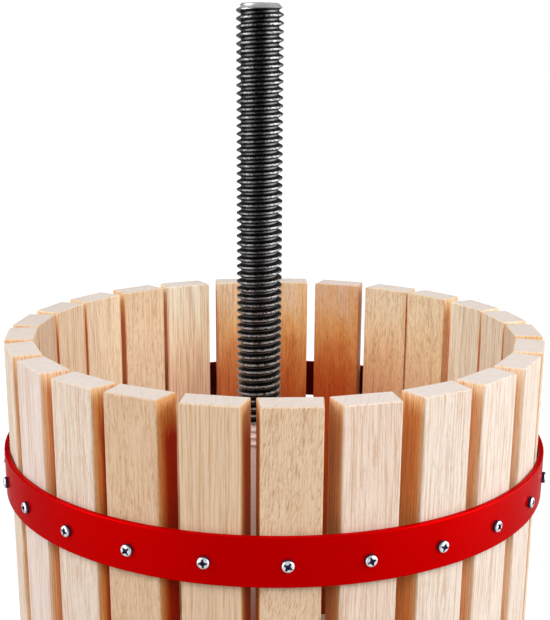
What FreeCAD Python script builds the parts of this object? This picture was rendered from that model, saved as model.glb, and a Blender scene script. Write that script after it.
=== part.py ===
import FreeCAD, Part
import math
import os
import Sketcher

# Basket fruit press. Millimetres and degrees. +Z is up, the floor is z = 0, the spindle stands on
# the Z axis and the pouring spout points to -Y. The basket stands a little off the spindle.

Vec = FreeCAD.Vector
UP = Vec(0, 0, 1)

DIMENSIONS = {
    # basket
    "slat_count": 25,
    "slat_width": 31,
    "slat_outer_width": 28.5,
    "slat_thickness": 16,
    "slat_height": 350,
    "slat_outer_round": 1,
    "slat_end_chamfer": 0.5,
    "basket_radius": 134.5,
    "basket_offset": 9,
    "first_slat_angle": 68.5,
    "hoop_height": 25,
    "hoop_thickness": 3,
    "hoop_gap": 0.7,
    "hoop_inset": 60.6,
    "hoop_edge_round": 0.7,
    # hoop screws
    "first_screw_angle": 69.5,
    "screw_head_radius": 3.1,
    "screw_head_height": 2.2,
    "screw_head_round": 1.3,
    "screw_shank_radius": 1.75,
    "screw_bite": 12,
    "screw_tip": 3,
    "screw_drop": 1.1,
    "screw_hole_radius": 1.8,
    "recess_length": 4.4,
    "recess_width": 1.1,
    "recess_depth": 1.3,
    # spindle
    "spindle_radius": 12.7,
    "spindle_above_rim": 177,
    "spindle_chamfer": 2.8,
    "thread_below_rim": 69,
    "thread_pitch": 4.3,
    "thread_phase": 2.7,
    "thread_depth": 2.4,
    "thread_root_width": 0.8,
    "thread_crest_width": 0.9,
    "shank_radius": 10.2,
    "collar_radius": 15,
    "collar_height": 6,
    "stub_radius": 9,
    "stub_hole_radius": 9.5,
    "stub_length": 30,
    "seal_radius": 16,
    "seal_thickness": 2,
    "stub_washer_radius": 19,
    "stub_washer_thickness": 3,
    "stub_nut_across_corners": 31,
    "stub_nut_height": 15,
    "thread_clearance": 0.05,
    # tray and spout
    "tray_underside": 150,
    "sheet": 2,
    "tray_floor_radius": 190,
    "tray_rim_radius": 198,
    "tray_depth": 45,
    "tray_outer_bend": 10,
    "bead_radius": 3.5,
    "spout_radius": 17,
    "spout_start": 186,
    "spout_length": 72,
    "spout_mouth_start": 204,
    "spout_cut_slope": 12,
    "spout_cut_rise": 2,
    "spout_cut_drop": 3,
    "weld_gap": 0.05,
    # frame and legs
    "bar_width": 40,
    "bar_thickness": 6,
    "frame_disc_radius": 36,
    "leg_inner_end": 152,
    "leg_knee": 190,
    "leg_splay": 26,
    "leg_bend": 9,
    "foot_length": 40,
    "foot_corner_round": 8,
    "foot_bolt_radius": 236,
    "foot_hole_radius": 5.5,
    "leg_bolt_circle": 173,
    "leg_bolt_spacing": 20,
    "leg_bolt_radius": 4,
    "leg_bolt_hole_radius": 4.2,
    "leg_bolt_head_radius": 8,
    "leg_bolt_head_height": 4,
    "leg_bolt_head_edge": 0.6,
    "leg_bolt_length": 25,
    "leg_bolt_chamfer": 0.8,
    "leg_nut_across_corners": 15,
    "leg_nut_height": 6.5,
    # press boards
    "board_radius": 129,
    "board_thickness": 20,
    "board_hole_radius": 27,
    "board_parting": 1,
    "batten_width": 36,
    "batten_height": 16,
    "batten_inner_end": 34,
    "batten_outer_end": 105,
    "batten_spread": 48,
    "batten_screw_inset": 14,
    "batten_screw_length": 30,
    "batten_screw_head_radius": 4,
    "batten_screw_head_height": 2.5,
    "batten_screw_head_edge": 0.6,
    "batten_screw_sink": 0.5,
    "batten_screw_radius": 1.9,
    "batten_screw_tip": 5,
    "screw_gap": 0.1,
    # loose blocks
    "block_side": 44,
    "block_length": 170,
    "block_spread": 48,
    "block_round": 2,
    # thrust plate and press head
    "plate_radius": 62,
    "plate_thickness": 8,
    "plate_round": 1.5,
    "plate_recess_radius": 25,
    "plate_recess_depth": 4,
    "thrust_washer_radius": 30,
    "thrust_washer_thickness": 3,
    "neck_radius": 18,
    "neck_fit": 0.06,
    "neck_shortfall": 1,
    "ring_groove_radius": 16.5,
    "ring_groove_start": 1.2,
    "ring_groove_width": 1.6,
    "ring_thickness": 1.5,
    "ring_outer_radius": 22,
    "head_radius": 30,
    "head_height": 34,
    "head_round": 4,
    "head_bore_radius": 13.2,
    "boss_radius": 12,
    "boss_reach": 38,
    # arms and grips
    "arm_radius": 7,
    "arm_root": 17.2,
    "arm_hole_bottom": 17,
    "arm_end": 116,
    "arm_fit": 0.05,
    "arm_chamfer": 1,
    "grip_start": 70,
    "grip_end": 121,
    "grip_radius": 13,
    "grip_neck_radius": 11.5,
    "grip_end_round": 5.5,
    "grip_neck_round": 2,
    "grip_end_gap": 0.3,
}

# How far each slat stands from even spacing round the hoop, slat 1 first, to the nearest half
# millimetre as it looks in the photo; the first slat is at the far left and they run to the back.
# The holes in the hoops are evenly spaced, so the screws meet the slats a little off their middles.
SLAT_SLIPS = [2, 0.5, -1.5, -1.5, -2.5, -2, -2.5, 0, -2, 0.5, 2.5, 0.5, 3, 1, 0.5, 1, -0.5, 0, -0.5,
              1.5, 1, 0.5, 2, 0.5, 1.5]

LEG_ANGLES = {"leg_back": 90, "leg_front_left": 210, "leg_front_right": 330}

# How far a cutting shape runs past what it cuts, and how far each screw's cross is turned from the
# last one's
PAST = 1
SCREW_TWISTS = {"upper_hoop": 37, "lower_hoop": 53}


# Numbers that remember their sheet cells

class Size:
    """A number together with the sheet expression that gives it."""

    def __init__(self, value, text):
        self.value = value
        self.text = text

    def joined(self, sign, other, value):
        return Size(value, "(%s %s %s)" % (self.text, sign, other.text))

    def __add__(self, other):
        other = as_size(other)
        return self.joined("+", other, self.value + other.value)

    def __radd__(self, other):
        return as_size(other) + self

    def __sub__(self, other):
        other = as_size(other)
        return self.joined("-", other, self.value - other.value)

    def __rsub__(self, other):
        return as_size(other) - self

    def __mul__(self, other):
        other = as_size(other)
        return self.joined("*", other, self.value * other.value)

    def __rmul__(self, other):
        return as_size(other) * self

    def __truediv__(self, other):
        other = as_size(other)
        return self.joined("/", other, self.value / other.value)

    def __rtruediv__(self, other):
        return as_size(other) / self

    def __neg__(self):
        return Size(-self.value, "(-%s)" % self.text)


def as_size(number):
    if isinstance(number, Size):
        return number
    return Size(float(number), "(%s)" % number)


def root_of(size):
    return Size(math.sqrt(size.value), "sqrt(%s)" % size.text)


doc = FreeCAD.newDocument("fruit_press")
sheet = doc.addObject("Spreadsheet::Sheet", "Sizes")
for row, (alias, number) in enumerate(DIMENSIONS.items(), start=1):
    sheet.set("A%d" % row, alias)
    sheet.set("B%d" % row, str(number))
    sheet.setAlias("B%d" % row, alias)
doc.recompute()


class SheetSizes:
    """Every driving dimension by its name, as a Size."""

    def __getattr__(self, alias):
        return Size(float(sheet.get(alias)), "Sizes." + alias)


size = SheetSizes()

# Heights that several pieces share
tray_top = size.tray_underside + size.sheet
rim = tray_top + size.slat_height
spindle_top = rim + size.spindle_above_rim
thread_bottom = rim - size.thread_below_rim
collar_bottom = tray_top + size.seal_thickness
frame_bottom = size.tray_underside - size.bar_thickness
leg_top_underside = frame_bottom - size.bar_thickness
slat_outer_face = size.basket_radius + size.slat_thickness
hoop_inner_radius = slat_outer_face + size.hoop_gap
hoop_outer_radius = hoop_inner_radius + size.hoop_thickness
upper_hoop_bottom = size.slat_height - size.hoop_inset - size.hoop_height
lower_hoop_bottom = size.hoop_inset
hoop_screw_rise = size.hoop_height / 2 - size.screw_drop
board_top = tray_top + size.board_thickness
batten_top = board_top + size.batten_height
lower_block_top = batten_top + size.block_side
upper_block_top = lower_block_top + size.block_side
plate_top = upper_block_top + size.plate_thickness
head_bottom = plate_top + size.thrust_washer_thickness
head_top = head_bottom + size.head_height
neck_bottom = upper_block_top + size.neck_shortfall
arm_height = (head_bottom + head_top) / 2
spout_height = size.tray_underside + size.spout_radius
batten_screw_seat = size.batten_screw_head_height + size.batten_screw_sink


# Modelling helpers

def bind(thing, prop, value):
    """Tie a property of an object to the sheet."""
    thing.setExpression(prop, as_size(value).text)


def new_body(name):
    body = doc.addObject("PartDesign::Body", name)
    body.Label = name
    return body


def origin_item(body, role):
    return next(item for item in body.Origin.OriginFeatures if item.Role == role)


def new_sketch(body, name, plane, height=0):
    """Sketch on one of the body's own planes, moved along the plane's normal by height."""
    sketch = body.newObject("Sketcher::SketchObject", name)
    sketch.AttachmentSupport = (origin_item(body, plane), [""])
    sketch.MapMode = "FlatFace"
    bind(sketch, "AttachmentOffset.Base.z", height)
    return sketch


def constrain(sketch, kind, where, value):
    value = as_size(value)
    index = sketch.addConstraint(Sketcher.Constraint(kind, *where, value.value))
    sketch.setExpression("Constraints[%d]" % index, value.text)


def pin_point(sketch, edge, point, x, y):
    """Fix a point of an edge at sketch position x, y."""
    constrain(sketch, "DistanceX", (-1, 1, edge, point), x)
    constrain(sketch, "DistanceY", (-1, 1, edge, point), y)


def outline(body, name, plane, corners, height=0):
    """Closed sketch of straight lines through the corners."""
    sketch = new_sketch(body, name, plane, height)
    corners = [(as_size(x), as_size(y)) for x, y in corners]
    count = len(corners)
    for index, (x, y) in enumerate(corners):
        next_x, next_y = corners[(index + 1) % count]
        start = Vec(x.value, y.value, 0)
        end = Vec(next_x.value, next_y.value, 0)
        sketch.addGeometry(Part.LineSegment(start, end), False)
    for index in range(count):
        sketch.addConstraint(Sketcher.Constraint("Coincident", index, 2, (index + 1) % count, 1))
    for index, (x, y) in enumerate(corners):
        pin_point(sketch, index, 1, x, y)
    return sketch


def rectangle(body, name, plane, low, high, height=0):
    corners = [low, (high[0], low[1]), high, (low[0], high[1])]
    return outline(body, name, plane, corners, height)


def circles(body, name, plane, rounds, height=0):
    """Sketch of circles, each given as centre x, centre y and radius."""
    sketch = new_sketch(body, name, plane, height)
    for index, (x, y, radius) in enumerate(rounds):
        x, y, radius = as_size(x), as_size(y), as_size(radius)
        sketch.addGeometry(Part.Circle(Vec(x.value, y.value, 0), UP, radius.value), False)
        constrain(sketch, "Radius", (index,), radius)
        pin_point(sketch, index, 3, x, y)
    return sketch


def finish_feature(body, feature):
    body.Tip = feature
    doc.recompute()
    return feature


def pad(body, name, sketch, length, symmetric=False):
    feature = body.newObject("PartDesign::Pad", name)
    feature.Profile = sketch
    bind(feature, "Length", length)
    if symmetric:
        feature.SideType = "Symmetric"
    return finish_feature(body, feature)


def pocket(body, name, sketch, length, along_normal=False, symmetric=False):
    before = body.Tip.Shape.Volume
    feature = body.newObject("PartDesign::Pocket", name)
    feature.Profile = sketch
    bind(feature, "Length", length)
    feature.Reversed = along_normal
    if symmetric:
        feature.SideType = "Symmetric"
    finish_feature(body, feature)
    if feature.Shape.Volume >= before:
        raise RuntimeError(name + " cuts nothing")
    return feature


def revolve(body, name, sketch, axis="Z_Axis"):
    feature = body.newObject("PartDesign::Revolution", name)
    feature.Profile = sketch
    feature.ReferenceAxis = (origin_item(body, axis), [""])
    feature.Angle = 360
    return finish_feature(body, feature)


def turned(name, corners, axis="Z_Axis", plane="XZ_Plane"):
    """Body turned about an axis from an outline of radius and height."""
    body = new_body(name)
    revolve(body, name + "_turning", outline(body, name + "_section", plane, corners), axis)
    return body


def polar(body, name, features, count):
    feature = body.newObject("PartDesign::PolarPattern", name)
    feature.Originals = features
    feature.Axis = (origin_item(body, "Z_Axis"), [""])
    feature.Angle = 360
    feature.Occurrences = count
    return finish_feature(body, feature)


def soften(body, name, wanted, amount, chamfer=False):
    """Round or chamfer the edges of the body that pass the test."""
    base = body.Tip
    edges = ["Edge%d" % (i + 1) for i, edge in enumerate(base.Shape.Edges) if wanted(edge)]
    kind = "PartDesign::Chamfer" if chamfer else "PartDesign::Fillet"
    feature = body.newObject(kind, name)
    feature.Base = (base, edges)
    bind(feature, "Size" if chamfer else "Radius", amount)
    return finish_feature(body, feature)


def near(a, b):
    return abs(a - b) < 0.01


def is_upright(edge):
    ends = edge.Vertexes
    return len(ends) == 2 and near(ends[0].X, ends[1].X) and near(ends[0].Y, ends[1].Y)


def all_at(edge, height, axis="Z"):
    places = {"X": [vertex.X for vertex in edge.Vertexes], "Z": [vertex.Z for vertex in edge.Vertexes]}
    return all(near(place, height) for place in places[axis])


def is_round(edge):
    return isinstance(edge.Curve, Part.Circle)


def rounds_at(edge, height, radius, axis="Z"):
    return is_round(edge) and all_at(edge, height, axis) and near(edge.Curve.Radius, radius)


def copies(name, master, placements):
    """Group of separate copies of one master shape, kept as one piece of the press."""
    shapes = []
    for placement in placements:
        shape = master.Shape.copy()
        shape.Placement = placement.multiply(shape.Placement)
        shapes.append(shape)
    group = doc.addObject("Part::Feature", name)
    group.Label = name
    group.Shape = Part.makeCompound(shapes)
    return group


def primitive(kind, name, **values):
    thing = doc.addObject(kind, name)
    for prop, value in values.items():
        bind(thing, prop, value)
    doc.recompute()
    return thing


def boolean(kind, name, base, tool):
    result = doc.addObject(kind, name)
    result.Label = name
    result.Base = base
    result.Tool = tool
    doc.recompute()
    return result


def raised(thing, height, forward=0, sideways=0):
    """Bind where an object stands."""
    bind(thing, "Placement.Base.x", sideways)
    bind(thing, "Placement.Base.y", forward)
    bind(thing, "Placement.Base.z", height)
    return thing


def turned_about(thing, angle):
    """Bind how far an object is turned about the upright axis."""
    thing.Placement.Rotation = FreeCAD.Rotation(UP, 1)
    thing.setExpression("Placement.Rotation.Angle", as_size(angle).text)
    return thing


# Basket

def slat_angle(number):
    """Turn of a slat about the basket's axis, 0 at the front, clockwise from above."""
    slip = SLAT_SLIPS[number - 1]
    middle = size.basket_radius + size.slat_thickness / 2
    slip_angle = slip * 180 / (math.pi * middle)
    return -(size.first_slat_angle + (number - 1) * 360 / size.slat_count + slip_angle)


def make_slat(number, drill, screw_places):
    """One slat, a little narrower outside, with a pilot hole for each of its two screws."""
    name = "slat_%02d" % number
    body = new_body(name + "_blank")
    half = size.slat_width / 2
    outer_half = size.slat_outer_width / 2
    section = outline(body, name + "_section", "XY_Plane",
                      [(-outer_half, -slat_outer_face), (outer_half, -slat_outer_face),
                       (half, -size.basket_radius), (-half, -size.basket_radius)])
    pad(body, name + "_length", section, size.slat_height)

    def outer_arris(edge):
        return is_upright(edge) and edge.Vertexes[0].Y < -size.basket_radius.value - PAST

    def end_edge(edge):
        return all_at(edge, 0) or all_at(edge, size.slat_height.value)

    soften(body, name + "_arrises", outer_arris, size.slat_outer_round)
    soften(body, name + "_ends", end_edge, size.slat_end_chamfer, chamfer=True)
    raised(body, tray_top, sideways=size.basket_offset)
    turned_about(body, slat_angle(number))
    return drilled(name, body, drill, [places[number - 1] for places in screw_places])


def slat_numbers():
    return range(1, int(size.slat_count.value) + 1)


def make_screw_master():
    """Pan-head screw for the hoops, pointing along -Z with the underside of its head at z = 0."""
    length = size.hoop_thickness + size.hoop_gap + size.screw_bite - PAST
    shank = size.screw_shank_radius
    body = turned("screw_master", [(0, -length), (shank, -length + size.screw_tip), (shank, 0),
                                   (size.screw_head_radius, 0),
                                   (size.screw_head_radius, size.screw_head_height),
                                   (0, size.screw_head_height)])

    def head_rim(edge):
        return rounds_at(edge, size.screw_head_height.value, size.screw_head_radius.value)

    soften(body, "screw_dome", head_rim, size.screw_head_round)
    half_long = size.recess_length / 2
    half_wide = size.recess_width / 2
    bars = {"screw_recess_across": (half_long, half_wide), "screw_recess_along": (half_wide, half_long)}
    for name, (reach_x, reach_y) in bars.items():
        bar = rectangle(body, name + "_shape", "XY_Plane", (-reach_x, -reach_y), (reach_x, reach_y),
                        height=size.screw_head_height)
        pocket(body, name, bar, size.recess_depth)
    return body


def make_drill():
    """Cutter for one hoop screw's hole through hoop and slat, placed as the screw is."""
    reach = size.hoop_thickness + size.hoop_gap + size.screw_bite
    drill = primitive("Part::Cylinder", "screw_drill", Radius=size.screw_hole_radius,
                      Height=reach + PAST)
    bind(drill, "Placement.Base.z", -reach)
    doc.recompute()
    return drill


def drilled(name, blank, drill, places):
    """The blank with a hole at each place."""
    return boolean("Part::Cut", name, blank, copies(name + "_drills", drill, places))


def screw_angle(number):
    """Turn of the screw in a slat about the basket's axis, counted as slat_angle is."""
    return -(size.first_screw_angle + (number - 1) * 360 / size.slat_count)


def around_hoop(hoop_bottom, twist_step):
    """Where the screws of a hoop sit: one in each slat, evenly spaced, head outwards."""
    places = []
    height = (tray_top + hoop_bottom + hoop_screw_rise).value
    axis = Vec(size.basket_offset.value, 0, height)
    for number in slat_numbers():
        turn = FreeCAD.Placement(axis, FreeCAD.Rotation(UP, screw_angle(number).value))
        lay_down = FreeCAD.Rotation(Vec(1, 0, 0), 90)
        lay = FreeCAD.Placement(Vec(0, -hoop_outer_radius.value, 0), lay_down)
        twist = FreeCAD.Placement(Vec(), FreeCAD.Rotation(UP, twist_step * number))
        places.append(turn.multiply(lay).multiply(twist))
    return places


def make_hoop(name, hoop_bottom, drill, screw_places):
    """Closed steel band with a hole for each screw."""
    blank = new_body(name + "_blank")
    ring = circles(blank, name + "_section", "XY_Plane",
                   [(0, 0, hoop_outer_radius), (0, 0, hoop_inner_radius)])
    pad(blank, name + "_band", ring, size.hoop_height)
    soften(blank, name + "_edges", is_round, size.hoop_edge_round)
    raised(blank, tray_top + hoop_bottom, sideways=size.basket_offset)
    return drilled(name, blank, drill, screw_places)


# Spindle

def make_spindle():
    """Turned bar with a collar that stands on the tray and a right-hand thread at the top."""
    radius = size.spindle_radius
    stub_bottom = tray_top - size.stub_length
    collar_top = collar_bottom + size.collar_height
    chamfer = size.spindle_chamfer
    body = turned("spindle", [(0, stub_bottom),
                              (size.stub_radius, stub_bottom),
                              (size.stub_radius, collar_bottom),
                              (size.collar_radius, collar_bottom),
                              (size.collar_radius, collar_top),
                              (size.shank_radius, collar_top),
                              (size.shank_radius, thread_bottom),
                              (radius, thread_bottom),
                              (radius, spindle_top - chamfer),
                              (radius - chamfer, spindle_top),
                              (0, spindle_top)])
    pitch = size.thread_pitch
    lead_in = pitch * 3
    start = thread_bottom - lead_in - size.thread_phase
    root = radius - size.thread_depth
    half_root = size.thread_root_width / 2
    half_mouth = (pitch - size.thread_crest_width) / 2
    flank = (half_mouth - half_root) / size.thread_depth
    outside = radius + PAST
    half_open = half_mouth + flank * PAST
    groove = outline(body, "thread_groove", "XZ_Plane", [(root, start - half_root),
                                                         (outside, start - half_open),
                                                         (outside, start + half_open),
                                                         (root, start + half_root)])
    before = body.Tip.Shape.Volume
    thread = body.newObject("PartDesign::SubtractiveHelix", "thread")
    thread.Profile = groove
    thread.ReferenceAxis = (origin_item(body, "Z_Axis"), [""])
    thread.Mode = "pitch-height-angle"
    bind(thread, "Pitch", pitch)
    bind(thread, "Height", spindle_top - thread_bottom + lead_in * 2)
    finish_feature(body, thread)
    if thread.Shape.Volume >= before:
        raise RuntimeError("the thread cuts nothing")
    return body


def make_ring(name, inner, outer, bottom, thickness):
    """Flat ring about the spindle's axis."""
    body = new_body(name)
    section = circles(body, name + "_section", "XY_Plane", [(0, 0, outer), (0, 0, inner)])
    pad(body, name + "_thickness", section, thickness)
    return raised(body, bottom)


def make_hexagon_nut(name, across_corners, height, bore):
    """Plain-bored hexagon nut with its lower face at z = 0."""
    block = primitive("Part::Prism", name + "_hexagon", Circumradius=across_corners / 2, Height=height)
    hole = primitive("Part::Cylinder", name + "_bore", Radius=bore, Height=height)
    return boolean("Part::Cut", name, block, hole)


# Tray and spout

def leg_bolt_spots(along="Y"):
    """The two bolt centres of one leg, with the leg pointing along the given axis."""
    reach = size.leg_bolt_circle
    half = size.leg_bolt_spacing / 2
    spots = [(half, reach), (-half, reach)]
    if along == "X":
        spots = [(y, x) for x, y in spots]
    return [(x, y, size.leg_bolt_hole_radius) for x, y in spots]


def make_tray():
    """Pressed steel dish with a rolled rim, a spindle hole, bolt holes and the spout's hole."""
    low = size.tray_underside
    top = low + size.tray_depth
    lean = (size.tray_rim_radius - size.tray_floor_radius) / size.tray_depth
    across_wall = size.sheet * root_of(lean * lean + 1)
    inner_floor = size.tray_floor_radius + lean * size.sheet - across_wall
    body = turned("tray", [(size.stub_hole_radius, low),
                           (size.tray_floor_radius, low),
                           (size.tray_rim_radius, top),
                           (size.tray_rim_radius - across_wall, top),
                           (inner_floor, tray_top),
                           (size.stub_hole_radius, tray_top)])
    outer_bend = size.tray_outer_bend

    def outer_corner(edge):
        return rounds_at(edge, low.value, size.tray_floor_radius.value)

    def inner_corner(edge):
        return rounds_at(edge, tray_top.value, inner_floor.value)

    soften(body, "tray_outer_bend_round", outer_corner, outer_bend)
    soften(body, "tray_inner_bend_round", inner_corner, outer_bend - size.sheet)
    bead = circles(body, "bead_section", "XZ_Plane",
                   [(size.tray_rim_radius - across_wall / 2, top, size.bead_radius)])
    revolve(body, "rolled_rim", bead)
    holes = circles(body, "leg_bolt_hole_circles", "XY_Plane", leg_bolt_spots(),
                    height=tray_top + PAST)
    leg_holes = pocket(body, "leg_bolt_holes", holes, size.sheet + 2 * PAST)
    polar(body, "leg_bolt_hole_pattern", [leg_holes], len(LEG_ANGLES))
    opening = circles(body, "spout_opening_circle", "XZ_Plane",
                      [(0, spout_height, size.spout_radius + size.weld_gap)], height=size.spout_start)
    pocket(body, "spout_opening", opening, size.spout_length, along_normal=True)
    return body


def make_spout():
    """Short tube through the tray's wall, open on top outside it."""
    body = new_body("spout")
    radius = size.spout_radius
    tube = circles(body, "spout_section", "XZ_Plane",
                   [(0, spout_height, radius), (0, spout_height, radius - size.sheet)],
                   height=size.spout_start)
    pad(body, "spout_tube", tube, size.spout_length)
    above = spout_height + radius + PAST
    mouth = size.spout_start + size.spout_length + PAST
    slope_end = size.spout_mouth_start + size.spout_cut_slope
    cut = outline(body, "spout_cut", "YZ_Plane",
                  [(-size.spout_mouth_start, above),
                   (-slope_end, spout_height + size.spout_cut_rise),
                   (-mouth, spout_height - size.spout_cut_drop),
                   (-mouth, above)])
    pocket(body, "spout_trough", cut, radius * 3, symmetric=True)
    return body


# Frame and legs

def make_base_frame():
    """Three flat bars in a Y under the tray, joined in a disc round the spindle's stub."""
    body = new_body("base_frame")
    half = size.bar_width / 2
    disc = circles(body, "frame_disc_circle", "XY_Plane", [(0, 0, size.frame_disc_radius)])
    pad(body, "frame_disc", disc, size.bar_thickness)
    arm = rectangle(body, "frame_arm_shape", "XY_Plane", (-half, 0), (half, size.leg_knee))
    arm_pad = pad(body, "frame_arm", arm, size.bar_thickness)
    polar(body, "frame_arms", [arm_pad], len(LEG_ANGLES))
    holes = circles(body, "frame_bolt_circles", "XY_Plane", leg_bolt_spots(),
                    height=size.bar_thickness + PAST)
    arm_holes = pocket(body, "frame_bolt_holes", holes, size.bar_thickness + 2 * PAST)
    polar(body, "frame_bolt_pattern", [arm_holes], len(LEG_ANGLES))
    centre = circles(body, "frame_centre_circle", "XY_Plane", [(0, 0, size.stub_hole_radius)],
                     height=size.bar_thickness + PAST)
    pocket(body, "frame_centre_hole", centre, size.bar_thickness + 2 * PAST)
    return raised(body, frame_bottom)


def make_leg(name, angle):
    """Flat bar bent into a leg: bolted flange, splayed shin and drilled foot."""
    body = new_body(name)
    thick = size.bar_thickness
    top = frame_bottom
    slope = size.leg_splay / (top - thick)
    across = thick * root_of(slope * slope + 1)
    inner_knee = size.leg_knee - across + slope * thick
    ankle = size.leg_knee + size.leg_splay
    heel = size.leg_knee - across + slope * top
    toe = ankle + size.foot_length
    side = outline(body, name + "_side", "XZ_Plane", [(size.leg_inner_end, top),
                                                      (size.leg_knee, top),
                                                      (ankle, thick),
                                                      (toe, thick),
                                                      (toe, 0),
                                                      (heel, 0),
                                                      (inner_knee, leg_top_underside),
                                                      (size.leg_inner_end, leg_top_underside)])
    pad(body, name + "_bar", side, size.bar_width, symmetric=True)

    def crossing(edge, radius, height):
        ends = edge.Vertexes
        return all(near(end.X, radius.value) and near(end.Z, height) for end in ends)

    def outer_bend(edge):
        return crossing(edge, size.leg_knee, top.value) or crossing(edge, heel, 0)

    def inner_bend(edge):
        return crossing(edge, ankle, thick.value) or crossing(edge, inner_knee, leg_top_underside.value)

    def foot_corner(edge):
        return is_upright(edge) and near(edge.Vertexes[0].X, toe.value)

    soften(body, name + "_outer_bends", outer_bend, size.leg_bend)
    soften(body, name + "_inner_bends", inner_bend, size.leg_bend - thick)
    soften(body, name + "_foot_corners", foot_corner, size.foot_corner_round)
    flange_holes = circles(body, name + "_flange_circles", "XY_Plane", leg_bolt_spots("X"),
                           height=top + PAST)
    pocket(body, name + "_flange_holes", flange_holes, thick + 2 * PAST)
    foot_hole = circles(body, name + "_foot_circle", "XY_Plane",
                        [(size.foot_bolt_radius, 0, size.foot_hole_radius)], height=thick + PAST)
    pocket(body, name + "_foot_hole", foot_hole, thick + 2 * PAST)
    return turned_about(body, angle)


def leg_bolt_places(height):
    """Where the six bolts or nuts sit, at one height."""
    places = []
    for angle in LEG_ANGLES.values():
        turn = FreeCAD.Placement(Vec(0, 0, height.value), FreeCAD.Rotation(UP, angle))
        for x, y, _ in leg_bolt_spots("X"):
            spot = FreeCAD.Placement(Vec(x.value, y.value, 0), FreeCAD.Rotation())
            places.append(turn.multiply(spot))
    return places


def make_leg_bolt_master():
    """Round-headed bolt hanging from z = 0."""
    head = size.leg_bolt_head_radius
    height = size.leg_bolt_head_height
    radius = size.leg_bolt_radius
    length = size.leg_bolt_length
    chamfer = size.leg_bolt_chamfer
    body = turned("leg_bolt_master", [(0, -length), (radius - chamfer, -length),
                                      (radius, chamfer - length), (radius, 0), (head, 0),
                                      (head, height), (0, height)])

    def head_rim(edge):
        return rounds_at(edge, height.value, head.value)

    soften(body, "leg_bolt_dome", head_rim, height - size.leg_bolt_head_edge)
    return body


# Press boards, battens and blocks

def batten_screw_spots():
    """Screw centres on one half board as distance from the parting line and sideways shift."""
    inset = size.batten_screw_inset
    reaches = (size.batten_inner_end + inset, size.batten_outer_end - inset)
    return [(reach, side * size.batten_spread) for reach in reaches for side in (-1, 1)]


def board_turn(side):
    """Half boards are drawn on the +X side; the left one is turned half a turn."""
    return 0 if side == "right" else 180


def make_board(side):
    """Half-round board with half of the spindle's hole and pilot holes for the batten screws."""
    name = side + "_board"
    body = new_body(name)
    sketch = new_sketch(body, name + "_outline", "XY_Plane")
    outer, inner, parting = size.board_radius, size.board_hole_radius, size.board_parting
    arcs = []
    for radius in (outer, inner):
        lift = math.acos(parting.value / radius.value)
        circle = Part.Circle(Vec(), UP, radius.value)
        arcs.append(sketch.addGeometry(Part.ArcOfCircle(circle, -lift, lift), False))
    start_y = [math.sqrt(radius.value ** 2 - parting.value ** 2) for radius in (outer, inner)]
    straights = []
    for way in (-1, 1):
        start = Vec(parting.value, way * start_y[1], 0)
        end = Vec(parting.value, way * start_y[0], 0)
        straights.append(sketch.addGeometry(Part.LineSegment(start, end), False))
    for line, end_point in zip(straights, (1, 2)):
        sketch.addConstraint(Sketcher.Constraint("Coincident", line, 2, arcs[0], end_point))
        sketch.addConstraint(Sketcher.Constraint("Coincident", line, 1, arcs[1], end_point))
        sketch.addConstraint(Sketcher.Constraint("Vertical", line))
        constrain(sketch, "DistanceX", (-1, 1, line, 1), parting)
    for arc, radius in zip(arcs, (outer, inner)):
        sketch.addConstraint(Sketcher.Constraint("Coincident", arc, 3, -1, 1))
        constrain(sketch, "Radius", (arc,), radius)
    pad(body, name + "_thickness", sketch, size.board_thickness)
    holes = circles(body, name + "_pilots", "XY_Plane",
                    [(x, y, size.batten_screw_radius + size.screw_gap) for x, y in batten_screw_spots()],
                    height=size.board_thickness)
    pocket(body, name + "_pilot_holes", holes, size.batten_screw_length - size.batten_height + PAST)
    raised(body, tray_top, sideways=size.basket_offset)
    return turned_about(body, board_turn(side))


def make_battens(side):
    """The two cleats across one half board, with counterbored screw holes."""
    name = side + "_battens"
    body = new_body(name)
    body.AllowCompound = True
    half = size.batten_width / 2
    for way, label in ((-1, "near"), (1, "far")):
        middle = way * size.batten_spread
        shape = rectangle(body, "%s_%s_shape" % (name, label), "XY_Plane",
                          (size.batten_inner_end, middle - half), (size.batten_outer_end, middle + half))
        pad(body, "%s_%s" % (name, label), shape, size.batten_height)
    shank = [(x, y, size.batten_screw_radius + size.screw_gap) for x, y in batten_screw_spots()]
    head = [(x, y, size.batten_screw_head_radius + size.screw_gap) for x, y in batten_screw_spots()]
    top = size.batten_height
    through = circles(body, name + "_shank_circles", "XY_Plane", shank, height=top + PAST)
    pocket(body, name + "_shank_holes", through, top + 2 * PAST)
    sunk = circles(body, name + "_head_circles", "XY_Plane", head, height=top)
    pocket(body, name + "_head_seats", sunk, batten_screw_seat)
    raised(body, board_top, sideways=size.basket_offset)
    return turned_about(body, board_turn(side))


def make_batten_screw_master():
    """Flat-topped wood screw whose head's underside is at z = 0."""
    shank = size.batten_screw_radius
    head = size.batten_screw_head_radius
    length = size.batten_screw_length - batten_screw_seat
    top = size.batten_screw_head_height
    edge = size.batten_screw_head_edge
    return turned("batten_screw_master", [(0, -length), (shank, size.batten_screw_tip - length),
                                          (shank, 0), (head, 0), (head, top - edge),
                                          (head - edge, top), (0, top)])


def batten_screw_places(side):
    places = []
    turn = FreeCAD.Placement(Vec(size.basket_offset.value, 0, (batten_top - batten_screw_seat).value),
                             FreeCAD.Rotation(UP, board_turn(side)))
    for x, y in batten_screw_spots():
        places.append(turn.multiply(FreeCAD.Placement(Vec(x.value, y.value, 0), FreeCAD.Rotation())))
    return places


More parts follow.
